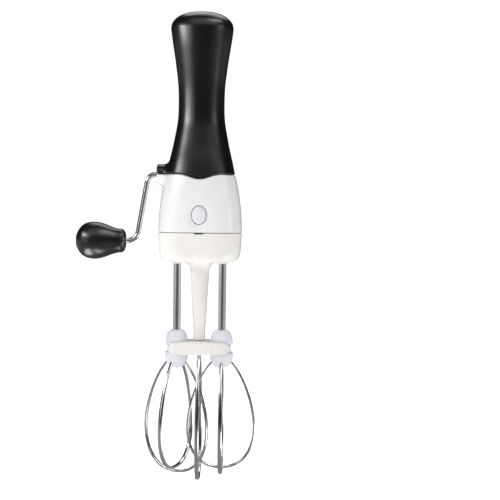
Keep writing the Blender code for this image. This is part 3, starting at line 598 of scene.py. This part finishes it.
def maths(tree, operation, first, second=None):
    """A value worked out from one or two sockets."""
    made = tree.nodes.new("ShaderNodeMath")
    made.operation = operation
    tree.links.new(first, made.inputs[0])
    if second is not None:
        tree.links.new(second, made.inputs[1])
    return made.outputs[0]


def mixed(tree, share, first, second):
    """The first colour at a share of 0 and the second at 1."""
    made = tree.nodes.new("ShaderNodeMix")
    made.data_type = "RGBA"
    tree.links.new(share, made.inputs["Factor"])
    made.inputs["A"].default_value = (*first, 1.0)
    made.inputs["B"].default_value = (*second, 1.0)
    return made.outputs["Result"]


def surface(name, colours, roughness, grain, settings=None, metallic=0.0, stretch=(1.0, 1.0, 1.0)):
    """A finish that varies: cloudy colour and gloss, rubbed patches, fine grain and faint hairlines."""
    made = bpy.data.materials.new(name)
    made.use_nodes = True
    tree = made.node_tree
    shader = tree.nodes["Principled BSDF"]
    shader.inputs["Metallic"].default_value = metallic
    for socket, value in (settings or {}).items():
        shader.inputs[socket].default_value = value
    where = tree.nodes.new("ShaderNodeTexCoord").outputs["Object"]
    cloud = noise(tree, where, 55.0, 4.0)
    rubbed = noise(tree, where, 210.0, 5.0, stretch)
    hairline = noise(tree, where, 900.0, 2.0, (1.0, 1.0, 0.06))
    fine = noise(tree, where, grain[0], 2.0, stretch)
    tree.links.new(mixed(tree, levels(tree, cloud, 0, 1), *colours), shader.inputs["Base Color"])
    low, high = roughness
    gloss = levels(tree, rubbed, low, high)
    scratch = levels(tree, hairline, 0.0, 0.35 * (high - low), 0.66, 0.74)
    tree.links.new(maths(tree, "ADD", gloss, scratch), shader.inputs["Roughness"])
    bumps = node(tree, "Bump", Height=fine, Strength=grain[1], Distance=grain[2])
    waves = node(tree, "Bump", Height=cloud, Strength=0.05, Distance=0.0002, Normal=bumps.outputs[0])
    tree.links.new(waves.outputs[0], shader.inputs["Normal"])
    return made


BLACK = surface(
    "black_plastic", ((0.0018, 0.0018, 0.0021), (0.0026, 0.0026, 0.0029)), (0.28, 0.30),
    (2600.0, 0.01, 0.00001), {"IOR": 1.5, "Specular IOR Level": 0.75},
)
KNOB_BLACK = surface(
    "black_gloss_plastic", ((0.0035, 0.0035, 0.0042), (0.0050, 0.0050, 0.0058)), (0.26, 0.32),
    (2200.0, 0.06, 0.00003), {"IOR": 1.52, "Specular IOR Level": 0.65},
)
WHITE = surface(
    "white_plastic", ((0.80, 0.785, 0.775), (0.84, 0.83, 0.82)), (0.17, 0.27),
    (1900.0, 0.06, 0.00003), {"IOR": 1.49, "Coat Weight": 0.35, "Coat Roughness": 0.12},
)
CREAM = surface(
    "cream_white_plastic", ((0.80, 0.775, 0.745), (0.84, 0.82, 0.795)), (0.19, 0.30),
    (1900.0, 0.07, 0.00003), {"IOR": 1.49, "Coat Weight": 0.25, "Coat Roughness": 0.15},
)
NYLON = surface(
    "lilac_white_nylon", ((0.72, 0.70, 0.77), (0.80, 0.78, 0.84)), (0.38, 0.55),
    (3200.0, 0.30, 0.00005), {"IOR": 1.53},
)
ACETAL = surface(
    "gear_acetal", ((0.78, 0.76, 0.71), (0.84, 0.82, 0.78)), (0.35, 0.50),
    (2400.0, 0.20, 0.00005), {"IOR": 1.48},
)
STEEL = surface(
    "polished_steel", ((0.70, 0.70, 0.71), (0.78, 0.78, 0.79)), (0.14, 0.22),
    (1500.0, 0.06, 0.00003), metallic=1.0, stretch=(1.0, 1.0, 0.08),
)
SPRING = surface(
    "spring_steel", ((0.42, 0.43, 0.45), (0.52, 0.53, 0.55)), (0.22, 0.38),
    (2100.0, 0.15, 0.00004), metallic=1.0, stretch=(1.0, 1.0, 0.15),
)
SLOT_FINISH = {
    "black_plastic": BLACK, "white_plastic": WHITE, "nylon": NYLON,
    "acetal": ACETAL, "polished_steel": STEEL, "spring_steel": SPRING,
}


def finish_cad_nodes():
    """Every CAD node that still shows takes its slot's finish."""
    for row in frame["record"]["subparts"]:
        shown = frame["nodes"][row["node"]]
        shown.data.materials.clear()
        shown.data.materials.append(SLOT_FINISH[row["material_slot"]])


# ---------------------------------------------------------------- pieces


def make_knob():
    """Flattened pear with a recess for its end cap, smooth from the neck to the far end."""
    outline = spline(KNOB_OUTLINE)
    neck_x = corner("crank_knob", 1)[0]
    end_x = corner("crank_knob", 0)[0]
    bore = AXLE_RADIUS + GAP
    outside = []
    for step in range(61):
        along = KNOB_LENGTH * 0.5 * (1 - math.cos(math.pi * step / 60))
        outside.append((KNOB_RADIUS * float(outline(along)), neck_x - along))
    rim = [(4.3, end_x + 0.15), (3.9, end_x + 0.15), (3.6, end_x + 0.5), (3.6, end_x + 5.2)]
    inside = [(bore, end_x + 5.2), (bore, neck_x + 0.9)]
    neck = [(2.6, neck_x + 1.0), (4.2, neck_x + 0.75), (5.4, neck_x + 0.35)]
    profile = outside + rim + inside + neck
    shape = turned("X", (0, 0, KNOB_PIN_Z), profile, 96, share=KNOB_DEPTH_SHARE)
    piece("knob_body", *shape, KNOB_BLACK, "knob", "black_plastic", ["crank_knob"], 50)


def make_knob_cap():
    """Low round cap that closes the knob's end."""
    end_x = corner("crank_knob", 0)[0]
    profile = [(0.02, end_x + 0.12), (1.2, end_x + 0.14), (2.3, end_x + 0.25)]
    profile += [(3.0, end_x + 0.5), (3.3, end_x + 0.9), (3.3, end_x + 3.2), (0.02, end_x + 3.2)]
    shape = turned("X", (0, 0, KNOB_PIN_Z), profile, 64, False)
    piece("knob_cap", *shape, KNOB_BLACK, "knob", "black_plastic", ["knob_end_cap"], 40)


def fillet_path(corners, radii, steps):
    """A path in the XZ plane through corners, each rounded with its own radius."""
    path = [Vector(corners[0])]
    for index in range(1, len(corners) - 1):
        turn = Vector(corners[index])
        back = (Vector(corners[index - 1]) - turn).normalized()
        ahead = (Vector(corners[index + 1]) - turn).normalized()
        half = back.angle(ahead) / 2
        radius = radii[index - 1]
        reach = radius / math.tan(half)
        centre = turn + (back + ahead).normalized() * (radius / math.sin(half))
        start = (turn + back * reach - centre).normalized()
        end = (turn + ahead * reach - centre).normalized()
        for step in range(steps + 1):
            path.append(centre + start.slerp(end, step / steps) * radius)
    path.append(Vector(corners[-1]))
    return path


def swept(path, normal, sizes, sides=20, power=2.0):
    """A bar along a path in the plane square to the normal. Sizes are (half width, half thickness)."""
    rings = []
    last = len(path) - 1
    for index, point in enumerate(path):
        along = (path[min(index + 1, last)] - path[max(index - 1, 0)]).normalized()
        across = along.cross(normal)
        wide, thick = sizes(index / last)
        ring = []
        for step in range(sides):
            angle = 2 * math.pi * (step + 0.5) / sides
            c, s = math.cos(angle), math.sin(angle)
            u = wide * math.copysign(abs(c) ** (2 / power), c)
            v = thick * math.copysign(abs(s) ** (2 / power), s)
            ring.append(point + normal * u + across * v)
        rings.append(ring)
    return loft(rings)


def make_crank_rod():
    """Round steel rod bent twice: the axle, the arm and the knob's pin."""
    axle_end = corner("crank_rod", 1)[0]
    pin_end = corner("crank_rod", 0)[0]
    corners = [
        (axle_end, 0, AXLE_Z), (ARM_TOP_X, 0, AXLE_Z),
        (ARM_BOTTOM_X, 0, KNOB_PIN_Z), (pin_end, 0, KNOB_PIN_Z),
    ]
    path = fillet_path(corners, ARM_BEND_RADII, 24)

    def round_bar(share):
        end = min(share, 1 - share)
        size = AXLE_RADIUS if end > 0 else AXLE_RADIUS - 0.3
        return size, size

    shape = swept(path, Vector((0, 1, 0)), round_bar, 32)
    piece("crank_arm_rod", *shape, STEEL, "crank", "polished_steel", ["crank_rod"], 40)


def loop_point(share, radius, top_z, bottom_z):
    """A point of a wire loop as (reach, height): share runs from 0 at one end to 1 at the other."""
    side = -1 if share < 0.5 else 1
    half = 1 - abs(2 * share - 1)
    split = 0.55
    if half < split:
        rise = (1 - half / split) * LOOP_END_SHARE
        reach = (1 - rise**UPPER_POWER) ** (1 / UPPER_POWER)
        return side * radius * reach, BELLY_Z + rise * (top_z - BELLY_Z)
    turn = (half - split) / (1 - split) * math.pi / 2
    reach = max(0.0, math.cos(turn)) ** (2 / LOWER_POWER)
    drop = math.sin(turn) ** (2 / LOWER_POWER)
    return side * radius * reach, BELLY_Z - drop * (BELLY_Z - bottom_z)


def even_path(points, count):
    """The same line with its points evenly spaced."""
    line = np.array(points, float)
    run = np.concatenate([[0], np.cumsum(np.linalg.norm(np.diff(line, axis=0), axis=1))])
    even = np.linspace(0, run[-1], count)
    return [Vector([float(np.interp(place, run, line[:, k])) for k in range(3)]) for place in even]


def make_loop(name, node_name, centre_x, phase, radius, top_z, bottom_z, body, tail=0.0):
    """Flattened round wire bent to a loop, thinner where it goes into its bush."""
    flat = [loop_point(step / 600, radius, top_z, bottom_z) for step in range(601)]
    if tail:
        flat = [(flat[0][0], flat[0][1] + tail)] + flat + [(flat[-1][0], flat[-1][1] + tail)]
    plane = Vector((math.cos(phase), math.sin(phase), 0))
    normal = Vector((-math.sin(phase), math.cos(phase), 0))
    base = Vector((centre_x, 0, 0))
    path = [base + plane * reach + Vector((0, 0, height)) for reach, height in flat]

    def wire(share):
        swell = 0.72 + 0.28 * min(1.0, min(share, 1 - share) / 0.2)
        return WIRE_WIDTH / 2 * swell, WIRE_THICKNESS / 2 * swell

    shape = swept(even_path(path, 180), normal, wire, 20, 2.3)
    piece(name, *shape, STEEL, body, "polished_steel", [node_name], 60)


def make_shaft(side_name, x, body):
    """Round steel shaft with a six-sided tang at its top."""
    shaft_top = corner(f"{side_name}_shaft", 1)[2]
    shaft_end = corner(f"{side_name}_shaft", 0)[2]
    third = math.pi / 3

    def hexagon(angle):
        return TANG_HALF_WIDTH / math.cos(angle % third - third / 2)

    profile = [(1.2, shaft_top), (hexagon, shaft_top - 0.8), (hexagon, TANG_FOOT_Z)]
    profile += [(SHAFT_RADIUS - 0.3, TANG_FOOT_Z), (SHAFT_RADIUS, TANG_FOOT_Z - 0.3)]
    profile += [(SHAFT_RADIUS, shaft_end + 0.3), (SHAFT_RADIUS - 0.3, shaft_end)]
    shape = turned("Z", (x, 0, 0), profile, 72, False)
    nodes = [f"{side_name}_shaft"]
    piece(f"{side_name}_drive_shaft", *shape, STEEL, body, "polished_steel", nodes, 35)


def make_collar(side_name, x, body):
    """Domed bush above the link."""
    bore = BUSH_BORE_RADIUS
    shoulder = arc((4.0, COLLAR_TOP_Z - 0.6), 0.6, 90, 60, 4)
    dome = spline(COLLAR_OUTLINE)
    drops = [0.35 * step for step in range(1, 24)]
    side_line = [(float(dome(drop)), COLLAR_TOP_Z - 0.25 - drop) for drop in drops]
    rim = arc((DOME_RADIUS - 0.5, COLLAR_RIM_Z + 0.5), 0.42, 0, -90, 5)
    profile = [(bore, COLLAR_TOP_Z - 0.3), (bore + 0.4, COLLAR_TOP_Z)] + shoulder + side_line + rim
    profile += [(bore, COLLAR_RIM_Z + 0.08)]
    shape = turned("Z", (x, 0, 0), profile, 96)
    nodes = [f"{side_name}_collar"]
    piece(f"{side_name}_domed_collar", *shape, NYLON, body, "nylon", nodes, 50)


def make_carrier(side_name, x, body):
    """Domed bush below the link, closed at its foot, that holds the wires."""
    bore = BUSH_BORE_RADIUS
    rim_z = CARRIER_RIM_Z
    depth = CARRIER_RIM_Z - 2.2 - CARRIER_BOTTOM_Z
    profile = [(bore, rim_z - 3.0), (bore, rim_z - 0.3), (bore + 0.3, rim_z - 0.05)]
    profile += arc((DOME_RADIUS - 0.45, rim_z - 0.5), 0.45, 90, 0, 5)
    for step in range(29):
        turn = math.pi / 2 * step / 28.6
        radius = (DOME_RADIUS + 0.1) * math.cos(turn) ** 0.9
        profile.append((radius, rim_z - 2.2 - depth * math.sin(turn)))
    profile += [(0.02, CARRIER_BOTTOM_Z + 0.02), (0.02, rim_z - 3.0)]
    shape = turned("Z", (x, 0, 0), profile, 96)
    nodes = [f"{side_name}_wire_carrier"]
    piece(f"{side_name}_domed_carrier", *shape, NYLON, body, "nylon", nodes, 50)


def make_beater(side_name, x):
    """The shaft, its two domed bushes and both wire loops of one beater."""
    body = f"{side_name}_beater"
    phase = LEFT_PHASE if x < 0 else RIGHT_PHASE
    make_shaft(side_name, x, body)
    make_collar(side_name, x, body)
    make_carrier(side_name, x, body)
    make_loop(
        f"{side_name}_outer_wire", f"{side_name}_outer_loop", x, phase, OUTER_LOOP_RADIUS,
        LOOP_TOP_Z, OUTER_LOOP_BOTTOM_Z, body,
    )
    make_loop(
        f"{side_name}_inner_wire", f"{side_name}_inner_loop", x, phase + math.pi / 2,
        INNER_LOOP_RADIUS, LOOP_TOP_Z, INNER_LOOP_BOTTOM_Z, body,
    )


def make_pieces():
    """All the smooth pieces that stand for CAD nodes."""
    moulded("grip", grip_field, "grip_shell", 0.7, BLACK, "body", "black_plastic")
    moulded("housing", housing_field, "upper_housing", 0.5, WHITE, "body", "white_plastic")
    moulded("head_bowl", head_field, "head_shell", 0.5, CREAM, "head", "white_plastic")
    moulded("link", link_field, "cross_link", 0.4, CREAM, "head", "white_plastic")
    moulded("button", button_field, "release_button", 0.25, NYLON, "button", "nylon")
    make_knob()
    make_knob_cap()
    make_crank_rod()
    make_beater("left", -SPINDLE_X)
    make_beater("right", SPINDLE_X)
    make_loop(
        "centre_wire", "centre_loop", 0, math.pi / 2, CENTRE_LOOP_RADIUS, CENTRE_LOOP_TOP_Z,
        TIP_Z + WIRE_THICKNESS / 2, "head", CENTRE_LOOP_TAIL,
    )


# ---------------------------------------------------------------- studio and camera


def make_floor():
    """Pale floor that sweeps up behind into a backdrop."""
    floor_z = TIP_Z - HEAD_TRAVEL - FLOOR_CLEARANCE
    half_width, front_y, sweep_y, radius, height = 2600.0, -1800.0, 900.0, 900.0, 2600.0
    line = [(front_y, floor_z), (sweep_y, floor_z)]
    line += [(sweep_y + u, floor_z + radius + v) for u, v in arc((0, 0), radius, -90, 0, 16)]
    line.append((sweep_y + radius, floor_z + height))
    points = [(x * MM, y * MM, z * MM) for y, z in line for x in (-half_width, half_width)]
    faces = [(2 * k, 2 * k + 1, 2 * k + 3, 2 * k + 2) for k in range(len(line) - 1)]
    mesh = bpy.data.meshes.new("studio_floor")
    mesh.from_pydata(points, [], faces)
    mesh.shade_smooth()
    paper = bpy.data.materials.new("studio_paper")
    paper.use_nodes = True
    shader = paper.node_tree.nodes["Principled BSDF"]
    shader.inputs["Base Color"].default_value = (0.93, 0.93, 0.93, 1.0)
    shader.inputs["Roughness"].default_value = 0.9
    shader.inputs["Emission Color"].default_value = (1.0, 1.0, 1.0, 1.0)
    shader.inputs["Emission Strength"].default_value = 0.70
    mesh.materials.append(paper)
    floor = bpy.data.objects.new("studio_floor", mesh)
    floor.visible_glossy = False
    bpy.context.scene.collection.objects.link(floor)


def softbox(name, place, target, width, height, glow):
    """A rectangular light that faces a target.

    Glow is its radiance, so that its size doesn't change how bright its reflection looks.
    """
    light = bpy.data.lights.new(name, "AREA")
    light.shape = "RECTANGLE"
    light.size, light.size_y = width, height
    light.energy = glow * math.pi * width * height
    made = bpy.data.objects.new(name, light)
    away = Vector(place) - Vector(target)
    made.location = place
    made.rotation_mode = "QUATERNION"
    made.rotation_quaternion = away.to_track_quat("Z", "Y")
    made.visible_camera = False
    bpy.context.scene.collection.objects.link(made)


def around(azimuth, elevation, distance, centre):
    """A point seen from the centre at an azimuth (0 in front, 90 to the right) and an elevation."""
    a, e = math.radians(azimuth), math.radians(elevation)
    away = Vector((math.sin(a) * math.cos(e), -math.cos(a) * math.cos(e), math.sin(e)))
    return away * distance + Vector(centre)


def make_lights():
    grip, middle = (0, 0, 0.01), (0, 0, -0.08)
    softbox("key_upper", around(-60, 12, 0.42, grip), grip, 0.18, 0.09, 14.5)
    softbox("key_soft", around(-38, 12, 0.42, grip), grip, 0.12, 0.09, 3.0)
    softbox("edge_left", around(-43, -3, 0.5, grip), grip, 0.10, 0.26, 1.1)
    softbox("fill_right", around(58, 14, 0.8, grip), grip, 0.34, 0.14, 2.4)
    softbox("upper_right", around(50, 50, 1.0, grip), grip, 0.7, 0.4, 3.2)
    softbox("low_right", around(62, -30, 0.6, middle), middle, 0.4, 0.2, 3.6)
    softbox("front_top", around(8, 50, 1.2, middle), middle, 1.5, 0.9, 0.75)
    softbox("top_back", around(170, 62, 1.1, middle), middle, 0.9, 0.6, 2.6)
    softbox("strip_left", around(-63, 3, 0.5, middle), middle, 0.04, 0.08, 3.5)
    softbox("strip_right", around(64, 2, 0.5, middle), middle, 0.04, 0.09, 5.5)
    softbox("table_left", (-0.088, -0.019, -0.126), (-0.115, -0.01, -0.04), 0.034, 0.026, 9.0)
    softbox("table_front", (-0.058, -0.026, -0.126), (-0.08, -0.01, -0.05), 0.028, 0.014, 5.5)


def make_world():
    """Dim studio air, with soft light only below eye level: at the sides, and off the table all round."""
    world = bpy.data.worlds.new("studio_air")
    world.use_nodes = True
    tree = world.node_tree
    where = tree.nodes.new("ShaderNodeTexCoord").outputs["Generated"]
    parts = node(tree, "SeparateXYZ", Vector=where)
    side = levels(tree, maths(tree, "ABSOLUTE", parts.outputs["X"]), 0.10, 0.52, 0.35, 0.9)
    table = levels(tree, parts.outputs["Z"], 0.25, 0.0, -0.26, -0.17)
    below = levels(tree, parts.outputs["Z"], 1.0, 0.0, -0.06, 0.04)
    share = maths(tree, "MULTIPLY", maths(tree, "MAXIMUM", side, table), below)
    colour = mixed(tree, share, (0.025, 0.025, 0.026), (1.0, 1.0, 1.0))
    tree.links.new(colour, tree.nodes["Background"].inputs["Color"])
    tree.nodes["Background"].inputs["Strength"].default_value = 1.0
    bpy.context.scene.world = world


def make_camera():
    """Level with the housing and a little to the right of the grip's axis, looking slightly down."""
    camera = bpy.data.cameras.new("camera")
    camera.sensor_width = 36.0
    camera.lens = 71.4
    made = bpy.data.objects.new("camera", camera)
    made.location = (0.0312, -0.62, -0.0576)
    pitch, roll = math.radians(87.25), math.radians(0.75)
    made.rotation_mode = "QUATERNION"
    aim = Matrix.Rotation(pitch, 3, "X") @ Matrix.Rotation(roll, 3, "Z")
    made.rotation_quaternion = aim.to_quaternion()
    bpy.context.scene.collection.objects.link(made)
    bpy.context.scene.camera = made


finish_cad_nodes()
make_pieces()
make_floor()
make_lights()
make_world()
make_camera()
bpy.context.scene.view_settings.view_transform = "Standard"
